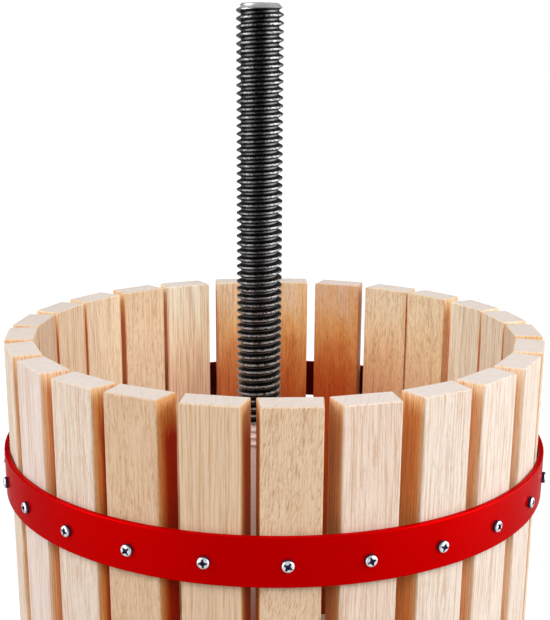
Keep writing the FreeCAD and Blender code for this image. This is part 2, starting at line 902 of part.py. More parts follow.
def make_block(name, way, bottom, turn):
    """Loose square block lying beside the spindle."""
    body = new_body(name)
    reach = size.block_length / 2
    half = size.block_side / 2
    middle = way * size.block_spread
    shape = rectangle(body, name + "_plan", "XY_Plane", (-reach, middle - half), (reach, middle + half))
    pad(body, name + "_height", shape, size.block_side)
    soften(body, name + "_edges", lambda edge: True, size.block_round)
    raised(body, bottom)
    return turned_about(body, turn)


# Thrust plate and press head

def make_thrust_plate():
    """Round plate that hangs on the press head's neck, recessed below for the retaining ring."""
    bore = size.neck_radius + size.neck_fit
    recess_top = upper_block_top + size.plate_recess_depth
    body = turned("thrust_plate", [(bore, recess_top),
                                   (size.plate_recess_radius, recess_top),
                                   (size.plate_recess_radius, upper_block_top),
                                   (size.plate_radius, upper_block_top),
                                   (size.plate_radius, plate_top),
                                   (bore, plate_top)])

    def outer_edge(edge):
        return any(rounds_at(edge, height.value, size.plate_radius.value)
                   for height in (upper_block_top, plate_top))

    soften(body, "thrust_plate_edges", outer_edge, size.plate_round)
    return body


def make_press_head():
    """Cast head: bored hub with a grooved neck below and a boss each side for the arms."""
    neck = size.neck_radius
    groove = size.ring_groove_radius
    groove_bottom = neck_bottom + size.ring_groove_start
    groove_top = groove_bottom + size.ring_groove_width
    radius = size.head_radius
    body = turned("press_head", [(0, neck_bottom), (neck, neck_bottom), (neck, groove_bottom),
                                 (groove, groove_bottom), (groove, groove_top), (neck, groove_top),
                                 (neck, head_bottom), (radius, head_bottom), (radius, head_top),
                                 (0, head_top)])
    boss = circles(body, "boss_circle", "YZ_Plane", [(0, arm_height, size.boss_radius)])
    pad(body, "bosses", boss, size.boss_reach * 2, symmetric=True)

    def top_edge(edge):
        return rounds_at(edge, head_top.value, radius.value)

    soften(body, "head_top_round", top_edge, size.head_round)
    bore = circles(body, "head_bore_circle", "XY_Plane", [(0, 0, size.head_bore_radius)],
                   height=head_top + PAST)
    pocket(body, "head_bore", bore, size.head_height * 2)
    hole_radius = size.arm_radius + size.arm_fit
    for label, start, outwards in (("right", size.arm_hole_bottom, True),
                                   ("left", -size.arm_hole_bottom, False)):
        hole = circles(body, label + "_arm_hole_circle", "YZ_Plane", [(0, arm_height, hole_radius)],
                       height=start)
        pocket(body, label + "_arm_hole", hole, size.boss_reach, along_normal=outwards)
    return body


def make_arm(name, turn):
    """Round bar screwed into the press head."""
    radius = size.arm_radius
    end = size.arm_end
    chamfer = size.arm_chamfer
    body = turned(name, [(size.arm_root, 0), (size.arm_root, radius), (end - chamfer, radius),
                         (end, radius - chamfer), (end, 0)], "X_Axis", "XY_Plane")
    raised(body, arm_height)
    return turned_about(body, turn)


def make_grip(name, turn):
    """Moulded grip pushed over the end of an arm."""
    bore = size.arm_radius + size.arm_fit
    start, end = size.grip_start, size.grip_end
    bottom = size.arm_end + size.grip_end_gap
    body = turned(name, [(start, bore), (start, size.grip_neck_radius), (end, size.grip_radius),
                         (end, 0), (bottom, 0), (bottom, bore)], "X_Axis", "XY_Plane")

    def outer_rim(edge):
        return rounds_at(edge, end.value, size.grip_radius.value, axis="X")

    def inner_rim(edge):
        return rounds_at(edge, start.value, size.grip_neck_radius.value, axis="X")

    soften(body, name + "_end_round", outer_rim, size.grip_end_round)
    soften(body, name + "_neck_round", inner_rim, size.grip_neck_round)
    raised(body, arm_height)
    return turned_about(body, turn)


# Assembly

pieces = []

screw_master = make_screw_master()
screw_drill = make_drill()
hoop_places = []
for hoop_name, hoop_level in (("upper_hoop", upper_hoop_bottom), ("lower_hoop", lower_hoop_bottom)):
    places = around_hoop(hoop_level, SCREW_TWISTS[hoop_name])
    pieces.append(make_hoop(hoop_name, hoop_level, screw_drill, places))
    pieces.append(copies(hoop_name + "_screws", screw_master, places))
    hoop_places.append(places)
pieces += [make_slat(number, screw_drill, hoop_places) for number in slat_numbers()]

pieces.append(make_spindle())
pieces.append(make_ring("spindle_seal", size.stub_hole_radius, size.seal_radius, tray_top,
                        size.seal_thickness))
washer_bottom = frame_bottom - size.stub_washer_thickness
pieces.append(make_ring("spindle_washer", size.stub_hole_radius, size.stub_washer_radius,
                        washer_bottom, size.stub_washer_thickness))
spindle_nut = make_hexagon_nut("spindle_nut", size.stub_nut_across_corners, size.stub_nut_height,
                               size.stub_radius + size.thread_clearance)
pieces.append(raised(spindle_nut, washer_bottom - size.stub_nut_height))

pieces += [make_tray(), make_spout(), make_base_frame()]
pieces += [make_leg(name, angle) for name, angle in LEG_ANGLES.items()]
pieces.append(copies("leg_bolts", make_leg_bolt_master(), leg_bolt_places(tray_top)))
leg_nut_master = make_hexagon_nut("leg_nut_master", size.leg_nut_across_corners, size.leg_nut_height,
                                  size.leg_bolt_radius + size.thread_clearance)
pieces.append(copies("leg_nuts", leg_nut_master,
                     leg_bolt_places(leg_top_underside - size.leg_nut_height)))

batten_screw_master = make_batten_screw_master()
for half_side in ("left", "right"):
    pieces += [make_board(half_side), make_battens(half_side)]
    pieces.append(copies(half_side + "_batten_screws", batten_screw_master,
                         batten_screw_places(half_side)))

pieces += [make_block("lower_block_front", -1, batten_top, 0),
           make_block("lower_block_back", 1, batten_top, 0),
           make_block("upper_block_left", 1, lower_block_top, 90),
           make_block("upper_block_right", -1, lower_block_top, 90)]

pieces += [make_thrust_plate(), make_press_head()]
pieces.append(make_ring("thrust_washer", size.neck_radius + size.neck_fit, size.thrust_washer_radius,
                        plate_top, size.thrust_washer_thickness))
ring_bottom = neck_bottom + size.ring_groove_start + (size.ring_groove_width - size.ring_thickness) / 2
pieces.append(make_ring("retaining_ring", size.ring_groove_radius + size.thread_clearance,
                        size.ring_outer_radius, ring_bottom, size.ring_thickness))
for arm_side, arm_turn in (("right", 0), ("left", 180)):
    pieces += [make_arm(arm_side + "_arm", arm_turn), make_grip(arm_side + "_grip", arm_turn)]

doc.recompute()
for thing in doc.Objects:
    if "Invalid" in thing.State or "Error" in thing.State:
        raise RuntimeError("%s did not build: %s" % (thing.Name, thing.State))
for piece in pieces:
    if piece.Shape.isNull() or not piece.Shape.isValid() or not piece.Shape.Solids:
        raise RuntimeError(piece.Label + " has no valid solid")

os.makedirs("parts", exist_ok=True)
for piece in pieces:
    piece.Shape.exportStep("parts/%s.step" % piece.Label)
print(len(pieces), "pieces written")
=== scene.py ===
import math

import bpy
from mathutils import Matrix, Vector


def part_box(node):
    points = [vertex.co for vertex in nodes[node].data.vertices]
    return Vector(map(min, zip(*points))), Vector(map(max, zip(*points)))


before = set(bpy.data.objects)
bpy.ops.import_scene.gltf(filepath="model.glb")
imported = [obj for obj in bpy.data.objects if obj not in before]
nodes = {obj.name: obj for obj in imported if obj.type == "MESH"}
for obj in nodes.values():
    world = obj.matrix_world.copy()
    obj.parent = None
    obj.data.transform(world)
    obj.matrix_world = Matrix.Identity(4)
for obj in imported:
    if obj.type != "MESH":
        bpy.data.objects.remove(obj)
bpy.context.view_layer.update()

# Basket fruit press. Metres; +Z is up, the spindle stands on the Z axis and the spout points to -Y.
# Patterns in the materials are worked in millimetres of the object's own space.

# Places read from the frame, and sizes of the pieces in millimetres
MM = 0.001
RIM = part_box("slat_21")[1].z
BASKET_AXIS = Vector(((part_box("upper_hoop")[0].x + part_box("upper_hoop")[1].x) / 2, 0, 0))
SLATS = sorted(name for name in nodes if name.startswith("slat_"))
SCREWS_LOW, SCREWS_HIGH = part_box("upper_hoop_screws")
SCREW_LEVELS = [sum(corner.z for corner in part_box(row)) / 2 / MM for row in
                ("upper_hoop_screws", "lower_hoop_screws")]
SCREW_FACE = (SCREWS_HIGH.y - SCREWS_LOW.y) / 2 / MM
FIRST_SCREW = math.radians(69.5)
SCREW_HEAD_RADIUS = 3.1
# Width of the painted shadow ring at a screw head's edge, and the reach of the painted shade in its
# cross recess and of the dark disc at its middle
SCREW_RIM_WIDTH = 0.45
RECESS_REACH = 2.25
RECESS_HUB = (1.5, 1.1)
HOOP_OUTSIDE = (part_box("upper_hoop")[1].x - BASKET_AXIS.x) / MM
HOOP_THICKNESS = 3.0
HOOP_GAP = 0.7
OUTER_FACE = HOOP_THICKNESS + HOOP_GAP - HOOP_OUTSIDE
SLAT_DEPTH = 16.0
SLAT_HALF_OUTSIDE = 14.25
SLAT_HALF_INSIDE = 15.5
SLAT_TAPER = (SLAT_HALF_INSIDE - SLAT_HALF_OUTSIDE) / SLAT_DEPTH
SPINDLE_RADIUS = 12.7

# The spindle is freshly cut near its top and bare from a depth under the rim down, its bare steel
# tinted as a painted reflection, and the thread is unused above the first of two heights over the rim
# and used below the second, where its crests are paler and less metallic: partly wear and partly a
# painted highlight
CUT_UNDER_TOP = 2.9
BARE_UNDER_RIM = 55.2
USED_AND_LIT_OVER_RIM = (50.0, -20.0)

# Colours as they look, 0 to 255
BEECH_LINE = (190, 138, 86)
BEECH_FLECK = (166, 108, 58)
BEECH_END = (214, 204, 198)
BEECH_END_LINE = (200, 180, 164)
# Golden, brown and red painted shade in the gaps between slats and low on some inner faces
GOLDEN_SHADE = (255, 223, 168)
BROWN_SHADE = (248, 203, 160)
RED_SHADE = (205, 66, 42)
PRESS_RED = (194, 0, 1)
OILED_STEEL = (77, 76, 77)
WORN_STEEL = (130, 129, 130)
# Rubbed crests: wear where the press head works, and partly a painted highlight where the lamps don't
# reach
RUBBED_STEEL_AND_HIGHLIGHT = (188, 192, 198)
CUT_STEEL = (205, 204, 206)
# Bare steel, tinted pink and brightened as a painted reflection of the wood and red paint around it
BARE_STEEL_AND_REFLECTION = (237, 212, 206)
ZINC = (236, 239, 243)
# Painted shade in the screw recesses and a painted shadow ring round the screw heads
RECESS_SHADE = (20, 26, 66)
SCREW_RIM_SHADE = (60, 44, 74)
RUBBER_BLACK = (24, 24, 25)
SHEEN_RED = (255, 20, 20)
# Painted shade on the hoops' inner face behind the slats
HOOP_INNER_SHADE = (92, 16, 10)
BRASS = (206, 168, 96)
GRIP_BLACK = (20, 20, 21)

# The wood of each slat, how flat its grain is cut (0 straight lines, 1 short dashes), how strongly
# painted shade darkens its inner face towards the bottom and how strongly it darkens its sides in the
# gaps
SLAT_WOOD = {
    "slat_01": ((231, 214, 197), 0.2, 0, 0.7),
    "slat_02": ((230, 204, 174), 0.4, 0, 0.9),
    "slat_03": ((232, 206, 178), 0.3, 0, 0.8),
    "slat_04": ((244, 220, 190), 0.2, 0, 0.7),
    "slat_05": ((236, 214, 184), 0.3, 0, 0.5),
    "slat_06": ((230, 204, 172), 0.7, 0, 0.5),
    "slat_07": ((237, 228, 209), 0.0, 0.3, 0.4),
    "slat_08": ((237, 215, 191), 0.5, 0.85, 0.4),
    "slat_09": ((233, 207, 178), 0.6, 0.93, 0.5),
    "slat_10": ((214, 182, 157), 0.9, 1.0, 0.35),
    "slat_11": ((231, 214, 189), 1.0, 0.45, 0.45),
    "slat_12": ((231, 212, 181), 0.9, 0.28, 0.5),
    "slat_13": ((246, 232, 208), 0.1, 0, 0.6),
    "slat_14": ((252, 236, 212), 0.2, 0, 0.7),
    "slat_15": ((238, 214, 188), 0.3, 0, 0.9),
    "slat_16": ((238, 218, 196), 0.3, 0, 0.6),
    "slat_17": ((234, 220, 207), 0.2, 0, 0.6),
    "slat_18": ((233, 218, 205), 0.2, 0, 0.7),
    "slat_19": ((228, 213, 199), 0.3, 0, 0.95),
    "slat_20": ((227, 206, 189), 0.2, 0, 1.0),
    "slat_21": ((222, 194, 164), 1.0, 0, 1.0),
    "slat_22": ((216, 188, 159), 0.0, 0, 1.0),
    "slat_23": ((214, 184, 154), 0.8, 0, 1.0),
    "slat_24": ((222, 205, 189), 0.3, 0, 1.0),
    "slat_25": ((227, 211, 202), 0.1, 0, 0.8),
}

# The wood of boards, battens and blocks, and how much paler than its wood a piece's pale lines are
PRESS_WOOD = (214, 178, 136)
WOOD_CONTRAST = 8

# How fast each pattern of the wood changes across, through and along a piece, per millimetre, and
# how far apart the figures of two pieces are taken
DRIFT = (0.04, 0.04, 0.014)
FINE_LINES = (1.15, 1.15, 0.018)
PATCHES = (0.22, 0.22, 0.035)
DASHES = (1.7, 1.7, 0.19)
SAW_LINES = (0.9, 0.07, 0.07)
PORES = (2.2, 2.2, 2.2)
STREAKS = (0.9, 0.9, 0.08)
BLOTS = (0.12, 0.12, 0.03)
FIGURE_STEPS = (37.0, 91.0, 53.0)

# Over which distances a point comes to count as on a slat's side, from the side's plane outwards,
# and on its inner face, from the outer face inwards
SIDE_EDGE = (-1.2, -0.3)
INNER_EDGE = (SLAT_DEPTH - 1.2, SLAT_DEPTH - 0.4)

# Depths under the rim, in millimetres, over which golden, brown and red painted shade set in on a
# slat's inner face, and how strong the red gets
INNER_SHADE_DEPTHS = ((5.0, 60.0), (32.0, 95.0), (56.0, 112.0))
RED_INNER_SHADE = 0.7

# Light from all round, the floor's width, its own glow near the press and far from it, and the
# distances from the spindle over which glow and sheen grow, in metres
ROOM_LIGHT = 0.33
FLOOR_WIDTH = 60
FLOOR_GLOW = (0.58, 0.9)
FLOOR_GLOW_GROWS = (0.8, 3.0)
FLOOR_SHEEN_GROWS = (0.9, 2.4)

# What gloss shows: how bright the room and its dark parts are, and the direction and strength of
# each panel; an edge is how nearly a direction has to point at a thing to meet it
GLOSS_ROOM = 0.3
GLOSS_DARK = 0.06
DARK_EDGE = (0.7, 0.95)
OVERHEAD_EDGE = (0.93, 0.76)
PANELS = (((0.92, -0.39, 0), 2.6), ((0.99, 0.12, 0), 3.0), ((-0.92, -0.39, 0), 2.0))
PANEL_EDGE = (0.82, 0.94)

# Lamps: azimuth and height in degrees, width in metres, watts, and whether gloss shows the lamp
LAMP_AIM = 0.45
LAMP_DISTANCE = 2.0
LAMPS = (("right_softbox", 75, 28, 1.2, 27, True),
         ("left_softbox", -78, 28, 1.2, 25, True),
         ("front_fill", 5, 38, 1.0, 19, False),
         ("back_fill", 180, 25, 1.0, 9, False))


def linear(colour):
    """Colour of 0 to 255 as it looks, as the linear colour that a shader takes."""
    def channel(value):
        value = value / 255
        return value / 12.92 if value <= 0.04045 else ((value + 0.055) / 1.055) ** 2.4
    return (*[channel(value) for value in colour], 1)


class Wiring:
    """Short ways to wire the nodes of a tree."""

    def __init__(self, tree):
        self.tree = tree

    def feed(self, socket, value):
        if isinstance(value, bpy.types.NodeSocket):
            self.tree.links.new(value, socket)
        else:
            socket.default_value = value

    def add(self, kind, inputs=(), **settings):
        node = self.tree.nodes.new(kind)
        for setting, value in settings.items():
            setattr(node, setting, value)
        for key, value in dict(inputs).items():
            self.feed(node.inputs[key], value)
        return node

    def maths(self, operation, first, second=0.0, third=0.0, clamp=False):
        inputs = {0: first, 1: second, 2: third}
        return self.add("ShaderNodeMath", inputs, operation=operation, use_clamp=clamp).outputs[0]

    def vector(self, operation, first, second=(0, 0, 0)):
        return self.add("ShaderNodeVectorMath", {0: first, 1: second}, operation=operation).outputs[0]

    def between(self, value, low, high):
        """0 below low, 1 above high and smooth between."""
        inputs = {"Value": value, "From Min": low, "From Max": high}
        return self.add("ShaderNodeMapRange", inputs, interpolation_type="SMOOTHSTEP").outputs[0]

    def towards(self, direction, axis, low, high):
        """0 where a direction points away from an axis, 1 where it points along it."""
        inputs = {0: direction, 1: axis}
        along = self.add("ShaderNodeVectorMath", inputs, operation="DOT_PRODUCT").outputs["Value"]
        return self.between(along, low, high)

    def mix(self, factor, first, second, blend_type="MIX"):
        node = self.add("ShaderNodeMix", data_type="RGBA", blend_type=blend_type)
        self.feed(node.inputs[0], factor)
        self.feed(node.inputs[6], first)
        self.feed(node.inputs[7], second)
        return node.outputs[2]

    def stretched(self, place, factors):
        return self.vector("MULTIPLY", place, factors)

    def parts(self, place):
        return self.add("ShaderNodeSeparateXYZ", {0: place}).outputs

    def noise(self, place, detail=2.0, roughness=0.5):
        inputs = {"Vector": place, "Scale": 1.0, "Detail": detail, "Roughness": roughness,
                  "Distortion": 0.0}
        return self.add("ShaderNodeTexNoise", inputs).outputs[0]


class Finish(Wiring):
    """A material and the nodes that give it its look."""

    def __init__(self, name):
        self.material = bpy.data.materials.new(name)
        self.material.use_nodes = True
        super().__init__(self.material.node_tree)
        self.shader = self.tree.nodes["Principled BSDF"]

    def set(self, **values):
        """Sets shader sockets; a name's underscores stand for spaces."""
        for name, value in values.items():
            self.feed(self.shader.inputs[name.replace("_", " ")], value)

    def object_mm(self, location=(0, 0, 0), turn=0.0):
        """Object coordinates in millimetres about a place, turned back by an angle about Z."""
        place = self.add("ShaderNodeTexCoord").outputs["Object"]
        inputs = {"Vector": place, "Location": location, "Rotation": (0, 0, turn)}
        own = self.add("ShaderNodeMapping", inputs, vector_type="TEXTURE").outputs[0]
        return self.stretched(own, (1 / MM, 1 / MM, 1 / MM))

    def facing(self):
        """The surface's direction as x, y and z."""
        return self.parts(self.add("ShaderNodeNewGeometry").outputs["Normal"])

    def bump(self, height, strength, distance):
        inputs = {"Height": height, "Strength": strength, "Distance": distance}
        self.set(Normal=self.add("ShaderNodeBump", inputs).outputs[0])


def distance(finish, across, along):
    """Distance from where both sides of a right angle are 0."""
    squares = [finish.maths("POWER", side, 2.0) for side in (across, along)]
    return finish.maths("SQRT", finish.maths("ADD", *squares))


# Materials

def wood_figure(finish, place, wood, dashes, seed):
    """Colour and height of beech: fine lines along the grain, and short slanting dashes."""
    place = finish.vector("ADD", place, tuple(seed * step for step in FIGURE_STEPS))
    drift = finish.noise(finish.stretched(place, DRIFT))
    swing = 2.0 + 6.0 * dashes
    sway = finish.maths("MULTIPLY_ADD", drift, swing, -swing / 2)
    sideways = finish.add("ShaderNodeCombineXYZ", {0: sway, 1: sway}).outputs[0]
    swayed = finish.vector("ADD", place, sideways)
    fine = finish.noise(finish.stretched(swayed, FINE_LINES), detail=3.0, roughness=0.68)
    patchy = finish.noise(finish.stretched(swayed, PATCHES), detail=1.0)
    slant = 0.16 * math.sin(seed * 2.3)
    inputs = {"Vector": swayed, "Rotation": (0, slant, 0)}
    slanted = finish.add("ShaderNodeMapping", inputs).outputs[0]
    dash_field = finish.noise(finish.stretched(slanted, DASHES), detail=2.5, roughness=0.65)
    pale = tuple(min(255, channel + WOOD_CONTRAST * (1 - 0.5 * dashes)) for channel in wood)
    colour = finish.mix(finish.between(fine, 0.56, 0.36), linear(wood), linear(pale))
    line = finish.maths("MULTIPLY", finish.between(fine, 0.46, 0.66), 0.58 - 0.26 * dashes)
    colour = finish.mix(line, colour, linear(BEECH_LINE))
    level = finish.maths("MULTIPLY_ADD", patchy, 0.16, finish.maths("SUBTRACT", dash_field, 0.08))
    dash = finish.maths("MULTIPLY", finish.between(level, 0.48, 0.66), 0.08 + 0.4 * dashes)
    colour = finish.mix(dash, colour, linear(BEECH_FLECK))
    height = finish.maths("SUBTRACT", fine, finish.maths("MULTIPLY", dash, 0.8))
    return colour, height


def end_grain(finish, place, wood, saw_turn):
    """Colour and height of a sawn end: paler than the wood, with faint saw lines."""
    inputs = {"Vector": place, "Rotation": (0, 0, saw_turn)}
    turned = finish.add("ShaderNodeMapping", inputs).outputs[0]
    lines = finish.noise(finish.stretched(turned, SAW_LINES), roughness=0.6)
    pores = finish.noise(finish.stretched(place, PORES))
    faint = finish.maths("MULTIPLY", finish.between(lines, 0.46, 0.72), 0.45)
    pale = finish.mix(0.15, linear(BEECH_END), linear(wood))
    colour = finish.mix(faint, pale, linear(BEECH_END_LINE))
    dots = finish.maths("MULTIPLY", finish.between(pores, 0.55, 0.8), 0.25)
    return finish.mix(dots, colour, linear(BEECH_LINE)), lines


def beech(name, place_at, turn, wood, dashes, seed, saw_turn, shades=None):
    """Raw beech whose figure lies in the piece's own frame; what faces up or down is sawn."""
    finish = Finish(name)
    place = finish.object_mm(place_at, turn)
    colour, height = wood_figure(finish, place, wood, dashes, seed)
    end_colour, end_height = end_grain(finish, place, wood, saw_turn)
    # On slats, painted shade in the gaps and low on the inner face
    if shades:
        colour = painted_slat_shade(finish, place, colour, *shades)
    is_end = finish.between(finish.maths("ABSOLUTE", finish.facing()[2]), 0.75, 0.95)
    finish.set(Base_Color=finish.mix(is_end, colour, end_colour), Roughness=0.6,
               Specular_IOR_Level=0.12)
    finish.bump(finish.mix(is_end, height, end_height), 0.3, 0.25 * MM)
    return finish.material


def painted_slat_shade(finish, place, colour, inner_shade, side_shade):
    """Painted shade: golden, brown and red darken the sides of the gaps, and on some slats the inner
    face: more the deeper.
    """
    across, through, height = finish.parts(place)
    inwards = finish.maths("SUBTRACT", through, OUTER_FACE)
    half = finish.maths("MULTIPLY_ADD", inwards, SLAT_TAPER, SLAT_HALF_OUTSIDE)
    either_side = finish.maths("ABSOLUTE", across)
    side, right_side = [finish.between(finish.maths("SUBTRACT", reach, half), *SIDE_EDGE)
                        for reach in (either_side, across)]
    depth = finish.maths("SUBTRACT", RIM / MM, height)
    streaks = finish.noise(finish.stretched(place, STREAKS), detail=1.0)
    ragged = finish.maths("MULTIPLY_ADD", streaks, 12.0, finish.maths("SUBTRACT", depth, 6.0))

    def layer(zone, grows_inwards, grows_down):
        reach = finish.maths("MULTIPLY", finish.between(inwards, *grows_inwards), zone)
        reach = finish.maths("MULTIPLY", reach, side_shade)
        return finish.maths("MULTIPLY", reach, finish.between(ragged, *grows_down))

    # Painted shade on the sides of the gaps: golden near the top, brown and red deeper in
    golden = layer(side, (0.0, 1.6), (-6.0, 4.0))
    brown = layer(side, (1.0, 5.0), (0.0, 12.0))
    red = layer(right_side, (3.0, 9.0), (4.0, 24.0))
    # Painted shade on the inner face: darker and redder towards the bottom
    if inner_shade:
        inside = finish.maths("MULTIPLY", finish.between(inwards, *INNER_EDGE), inner_shade)
        blots = finish.noise(finish.stretched(place, BLOTS))
        level = finish.maths("MULTIPLY_ADD", blots, 50.0, depth)
        spread = [finish.maths("MULTIPLY", inside, finish.between(level, *depths))
                  for depths in INNER_SHADE_DEPTHS]
        golden = finish.maths("MAXIMUM", golden, spread[0])
        brown = finish.maths("MAXIMUM", brown, spread[1])
        red = finish.maths("MAXIMUM", red, finish.maths("MULTIPLY", spread[2], RED_INNER_SHADE))
    for amount, stain in ((golden, GOLDEN_SHADE), (brown, BROWN_SHADE), (red, RED_SHADE)):
        colour = finish.mix(amount, colour, linear(stain), "MULTIPLY")
    return colour


def red_paint(name="red_paint", shade_within=None):
    """Gloss paint with a fine peel; on a hoop the face within a radius is darkened as painted shade,
    where it lies behind the slats.
    """
    finish = Finish(name)
    place = finish.object_mm()
    peel = finish.noise(finish.stretched(place, (0.7, 0.7, 0.7)), detail=1.0)
    patches = finish.noise(finish.stretched(place, (0.02, 0.02, 0.02)))
    darker = tuple(0.9 * channel for channel in linear(PRESS_RED)[:3]) + (1,)
    colour = finish.mix(patches, linear(PRESS_RED), darker)
    # Painted shade: the hoop's inner face behind the slats is darkened
    if shade_within:
        across, through, _ = finish.parts(finish.object_mm(BASKET_AXIS))
        hoop_shade = finish.between(distance(finish, across, through), shade_within, shade_within - 0.3)
        colour = finish.mix(hoop_shade, colour, linear(HOOP_INNER_SHADE))
    finish.set(Base_Color=colour, Roughness=finish.maths("MULTIPLY_ADD", patches, 0.1, 0.2),
               Metallic=0.38, Specular_IOR_Level=0.02, Specular_Tint=linear(SHEEN_RED))
    finish.bump(peel, 0.12, 0.06 * MM)
    return finish.material


def bright_metal(name, colour, roughness, grain=(0.4, 0.4, 6.0)):
    """Plain metal with fine tool lines; grain is how fast they change along x, y and z."""
    finish = Finish(name)
    place = finish.object_mm()
    lines = finish.noise(finish.stretched(place, grain), detail=3.0, roughness=0.6)
    wear = finish.noise(finish.stretched(place, (0.12, 0.12, 0.12)), detail=3.0)
    dull = tuple(0.8 * channel for channel in linear(colour)[:3]) + (1,)
    finish.set(Base_Color=finish.mix(finish.between(wear, 0.4, 0.7), linear(colour), dull),
               Metallic=1.0,
               Roughness=finish.maths("MULTIPLY_ADD", lines, 0.14, roughness - 0.07))
    finish.bump(lines, 0.1, 0.05 * MM)
    return finish.material


def spindle_steel(bare_below, cut_above, used_and_lit_fades, crest):
    """Black oiled thread with worn crests, more so where the press head works, where the crests are
    also paler and less metallic as a painted highlight; bare below one height, tinted and brightened
    there as a painted reflection, and freshly cut above another. Heights and the crest's radius are in
    millimetres."""
    finish = Finish("spindle_steel")
    place = finish.object_mm()
    across, through, height = finish.parts(place)
    radius = distance(finish, across, through)
    oxide = finish.between(height, bare_below - 0.6, bare_below + 0.6)
    cut = finish.between(height, cut_above - 0.5, cut_above + 0.5)
    rough = finish.noise(finish.stretched(place, (0.9, 0.9, 0.9)), detail=4.0, roughness=0.7)
    patches = finish.noise(finish.stretched(place, (0.7, 0.7, 1.1)))
    # Where the press head works the crests are paler and less metallic: partly wear, partly a painted
    # highlight
    used_and_lit = finish.between(height, *used_and_lit_fades)
    rubbed = finish.between(finish.maths("MULTIPLY_ADD", used_and_lit, 0.06, patches), 0.38, 0.6)
    worn = finish.maths("MULTIPLY", finish.between(radius, crest - 0.7, crest - 0.2), rubbed)
    bright = finish.mix(used_and_lit, linear(WORN_STEEL), linear(RUBBED_STEEL_AND_HIGHLIGHT))
    colour = finish.mix(worn, linear(OILED_STEEL), bright)
    # Bare steel below the thread: its pink tint is a painted reflection
    colour = finish.mix(oxide, linear(BARE_STEEL_AND_REFLECTION), colour)
    colour = finish.mix(cut, colour, linear(CUT_STEEL))
    metal = finish.maths("MULTIPLY_ADD", oxide, 0.75, 0.25)
    metal = finish.maths("MULTIPLY_ADD", cut, -0.4, metal)
    metal = finish.maths("MULTIPLY_ADD", finish.maths("MULTIPLY", worn, used_and_lit), -0.22, metal)
    finish.set(Base_Color=colour, Metallic=metal,
               Roughness=finish.maths("MULTIPLY_ADD", rough, 0.2, 0.15))
    finish.bump(rough, 0.4, 0.4 * MM)
    return finish.material


def hoop_screw_zinc():
    """Bright zinc with painted shade in the cross recesses, a dark disc at their middle and a painted
    shadow ring round each head's edge: known by their place on the hoops.
    """
    finish = Finish("hoop_screw_zinc")
    place = finish.object_mm(BASKET_AXIS)
    across, through, height = finish.parts(place)
    radius = distance(finish, across, through)
    step = math.tau / len(SLATS)
    angle = finish.maths("ARCTAN2", across, finish.maths("MULTIPLY", through, -1.0))
    turns = finish.maths("DIVIDE", finish.maths("ADD", angle, FIRST_SCREW + math.tau), step)
    past_screw = finish.maths("FRACT", finish.maths("ADD", turns, 0.5))
    sideways = finish.maths("MULTIPLY", finish.maths("SUBTRACT", past_screw, 0.5), step)
    sideways = finish.maths("MULTIPLY", sideways, radius)
    drops = [finish.maths("ABSOLUTE", finish.maths("SUBTRACT", height, level))
             for level in SCREW_LEVELS]
    from_middle = distance(finish, sideways, finish.maths("MINIMUM", *drops))
    # Painted shadow ring round the edge of each screw head
    rim = finish.between(from_middle, SCREW_HEAD_RADIUS - SCREW_RIM_WIDTH, SCREW_HEAD_RADIUS)
    # Painted shade in the cross recess and a dark disc at its middle
    centre = finish.between(from_middle, *RECESS_HUB)
    inside = finish.between(from_middle, RECESS_REACH + 0.15, RECESS_REACH)
    sunk = finish.between(radius, SCREW_FACE - 0.15, SCREW_FACE - 0.3)
    recess = finish.maths("MAXIMUM", finish.maths("MULTIPLY", inside, sunk), centre)
    head = finish.mix(rim, linear(ZINC), linear(SCREW_RIM_SHADE))
    finish.set(Base_Color=finish.mix(recess, head, linear(RECESS_SHADE)),
               Metallic=finish.maths("MULTIPLY_ADD", recess, -0.4, 0.6), Roughness=0.24)
    grain = finish.noise(finish.stretched(place, (1.5, 1.5, 1.5)))
    finish.bump(grain, 0.1, 0.05 * MM)
    return finish.material


def plain(name, colour, roughness):
    """Moulded rubber or plastic with a fine grain."""
    finish = Finish(name)
    place = finish.object_mm()
    grain = finish.noise(finish.stretched(place, (2.5, 2.5, 2.5)))
    finish.set(Base_Color=linear(colour),
               Roughness=finish.maths("MULTIPLY_ADD", grain, 0.15, roughness - 0.07),
               Specular_IOR_Level=0.4)
    finish.bump(grain, 0.2, 0.1 * MM)
    return finish.material


def give(material, *names):
    """Puts one material on the CAD pieces of these names."""
    for name in names:
        piece = nodes[name]
        piece.data.materials.clear()
        piece.data.materials.append(material)


def slat_turn(name):
    """Angle of a slat about the basket's axis, 0 where it would stand at the front."""
    low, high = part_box(name)
    middle = (low + high) / 2 - BASKET_AXIS
    return math.atan2(middle.x, -middle.y)


def dress_slats():
    """Each slat is cut from its own board: another wood, figure and saw direction."""
    for number, name in enumerate(SLATS, start=1):
        wood, dashes, inner_shade, side_shade = SLAT_WOOD[name]
        saw_turn = 0.6 * math.sin(number * 1.3)
        give(beech("beech_" + name, BASKET_AXIS, slat_turn(name), wood, dashes, number, saw_turn,
                   (inner_shade, side_shade)), name)


def dress_press_wood():
    """Boards, battens and blocks."""
    for seed, name in enumerate(("left_board", "right_board", "left_battens", "right_battens",
                                 "lower_block_front", "lower_block_back", "upper_block_left",
                                 "upper_block_right"), start=31):
        give(beech("beech_" + name, (0, 0, 0), 0.0, PRESS_WOOD, 0.5, seed, 0.3), name)


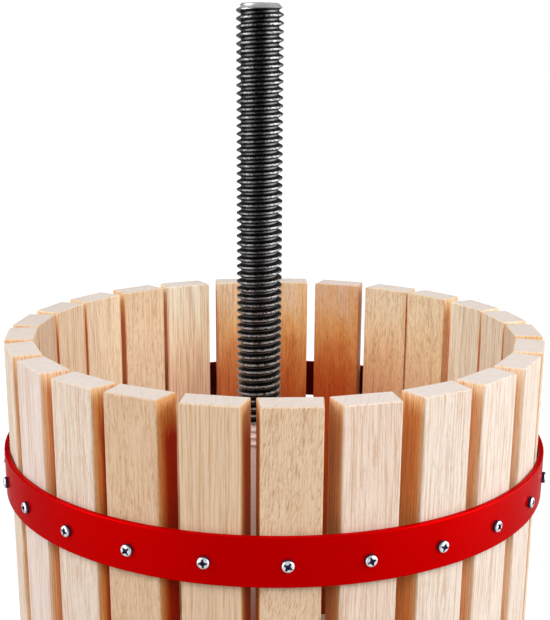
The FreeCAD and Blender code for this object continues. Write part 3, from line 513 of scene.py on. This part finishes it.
def dress_metal():
    red = red_paint()
    give(red, "tray", "spout", "base_frame", "leg_front_left", "leg_front_right", "leg_back",
         "press_head", "thrust_plate")
    # Radius within which the hoops' inner face gets painted shade
    within_hoop = HOOP_OUTSIDE - HOOP_THICKNESS + 0.5
    give(red_paint("hoop_paint", within_hoop), "upper_hoop", "lower_hoop")
    zinc = bright_metal("zinc_plate", ZINC, 0.26, grain=(1.5, 1.5, 1.5))
    give(zinc, "left_batten_screws", "right_batten_screws", "leg_bolts", "leg_nuts", "spindle_nut",
         "spindle_washer", "retaining_ring")
    give(hoop_screw_zinc(), "upper_hoop_screws", "lower_hoop_screws")
    give(bright_metal("drawn_steel", CUT_STEEL, 0.3, grain=(6.0, 0.4, 0.4)), "left_arm", "right_arm")
    give(bright_metal("turned_brass", BRASS, 0.3), "thrust_washer")
    give(plain("seal_rubber", RUBBER_BLACK, 0.6), "spindle_seal")
    give(plain("grip_plastic", GRIP_BLACK, 0.45), "left_grip", "right_grip")
    spindle_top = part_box("spindle")[1].z / MM
    used_and_lit_fades = [RIM / MM + height for height in USED_AND_LIT_OVER_RIM]
    give(spindle_steel(RIM / MM - BARE_UNDER_RIM, spindle_top - CUT_UNDER_TOP, used_and_lit_fades,
                       SPINDLE_RADIUS), "spindle")


# Stage, light and camera

def gloss_brightness(wiring, direction):
    """What gloss shows in a direction: a bright panel at each side, darkness in front and behind."""
    dark = wiring.maths("ADD", wiring.towards(direction, (0, -1, 0), *DARK_EDGE),
                        wiring.towards(direction, (0, 1, 0), *DARK_EDGE))
    brightness = wiring.maths("MULTIPLY_ADD", dark, GLOSS_DARK - GLOSS_ROOM, GLOSS_ROOM)
    for axis, panel in PANELS:
        beside = wiring.towards(direction, axis, *PANEL_EDGE)
        brightness = wiring.maths("MULTIPLY_ADD", beside, panel, brightness)
    return brightness


def make_floor():
    """Pale floor that looks white and keeps shadows; in gloss it is dark in front, as in a studio."""
    bpy.ops.mesh.primitive_plane_add(size=FLOOR_WIDTH)
    floor = bpy.context.object
    floor.name = "floor"
    finish = Finish("pale_floor")
    finish.set(Base_Color=(0.5, 0.5, 0.5, 1), Roughness=0.9, Specular_IOR_Level=0.1)
    path = finish.add("ShaderNodeLightPath").outputs
    eye = finish.maths("ADD", path["Is Camera Ray"], path["Is Transmission Ray"], clamp=True)
    across, depth, _ = finish.parts(finish.add("ShaderNodeTexCoord").outputs["Object"])
    away = distance(finish, across, depth)
    near, far = FLOOR_GLOW
    glow = finish.maths("MULTIPLY_ADD", finish.between(away, *FLOOR_GLOW_GROWS), far - near, near)
    level_place = finish.add("ShaderNodeCombineXYZ", {0: across, 1: depth}).outputs[0]
    outwards = finish.vector("NORMALIZE", level_place)
    sheen = gloss_brightness(finish, outwards)
    sheen = finish.maths("MULTIPLY", sheen, finish.between(away, *FLOOR_SHEEN_GROWS))
    sheen = finish.maths("MULTIPLY", sheen, path["Is Glossy Ray"])
    finish.set(Emission_Color=(1, 1, 1, 1),
               Emission_Strength=finish.maths("MULTIPLY_ADD", eye, glow, sheen))
    floor.data.materials.append(finish.material)


def light_world():
    """White to the camera and through glass; even light on the object. Gloss shows bright panels at
    the sides, and darkness overhead, in front and behind."""
    world = bpy.data.worlds.new("studio")
    bpy.context.scene.world = world
    world.use_nodes = True
    world.node_tree.nodes.clear()
    sky = Wiring(world.node_tree)
    path = sky.add("ShaderNodeLightPath").outputs
    direction = sky.add("ShaderNodeTexCoord").outputs["Generated"]
    not_overhead = sky.between(sky.parts(direction)[2], *OVERHEAD_EDGE)
    gloss = sky.maths("MULTIPLY", gloss_brightness(sky, direction), not_overhead)
    seen = sky.maths("MAXIMUM", path["Is Camera Ray"], path["Is Transmission Ray"])
    beyond_room = sky.maths("SUBTRACT", gloss, ROOM_LIGHT)
    shine = sky.maths("MULTIPLY_ADD", path["Is Glossy Ray"], beyond_room, ROOM_LIGHT)
    strength = sky.maths("MAXIMUM", seen, shine)
    background = sky.add("ShaderNodeBackground", {"Color": (1, 1, 1, 1), "Strength": strength})
    output = sky.add("ShaderNodeOutputWorld")
    sky.feed(output.inputs[0], background.outputs[0])


def area_light(name, place, target, width, power, in_gloss):
    lamp = bpy.data.lights.new(name, "AREA")
    lamp.shape = "SQUARE"
    lamp.size = width
    lamp.energy = power
    light = bpy.data.objects.new(name, lamp)
    bpy.context.scene.collection.objects.link(light)
    light.visible_glossy = in_gloss
    light.location = place
    light.rotation_euler = (Vector(target) - Vector(place)).to_track_quat("-Z", "Y").to_euler()


def light_press():
    """Two large soft lamps at the sides and above, and weaker ones in front and behind."""
    middle = Vector((0, 0, LAMP_AIM))
    for name, azimuth, height, width, power, in_gloss in LAMPS:
        azimuth, height = math.radians(azimuth), math.radians(height)
        direction = Vector((math.sin(azimuth) * math.cos(height), -math.cos(azimuth) * math.cos(height),
                            math.sin(height)))
        area_light(name, middle + direction * LAMP_DISTANCE, middle, width, power, in_gloss)


def place_camera():
    """Camera fitted to the slats, hoop and spindle of the photo, 550 by 620 pixels."""
    width, height = 550, 620
    focal_px, centre_y = 1095.7, 360.6
    aside, back, above = 0.0002, 0.6107, 0.1465
    tilt, roll = math.radians(90 - 15.2), math.radians(0.386)
    camera = bpy.data.cameras.new("camera")
    camera.sensor_width = 36
    camera.lens = focal_px * camera.sensor_width / max(width, height)
    camera.shift_y = (centre_y - height / 2) / max(width, height)
    seat = bpy.data.objects.new("camera", camera)
    bpy.context.scene.collection.objects.link(seat)
    seat.matrix_world = (Matrix.Translation((BASKET_AXIS.x + aside, -back, RIM + above))
                         @ Matrix.Rotation(tilt, 4, "X") @ Matrix.Rotation(roll, 4, "Z"))
    bpy.context.scene.camera = seat


dress_slats()
dress_press_wood()
dress_metal()
make_floor()
light_world()
light_press()
place_camera()
bpy.context.scene.view_settings.view_transform = "Standard"
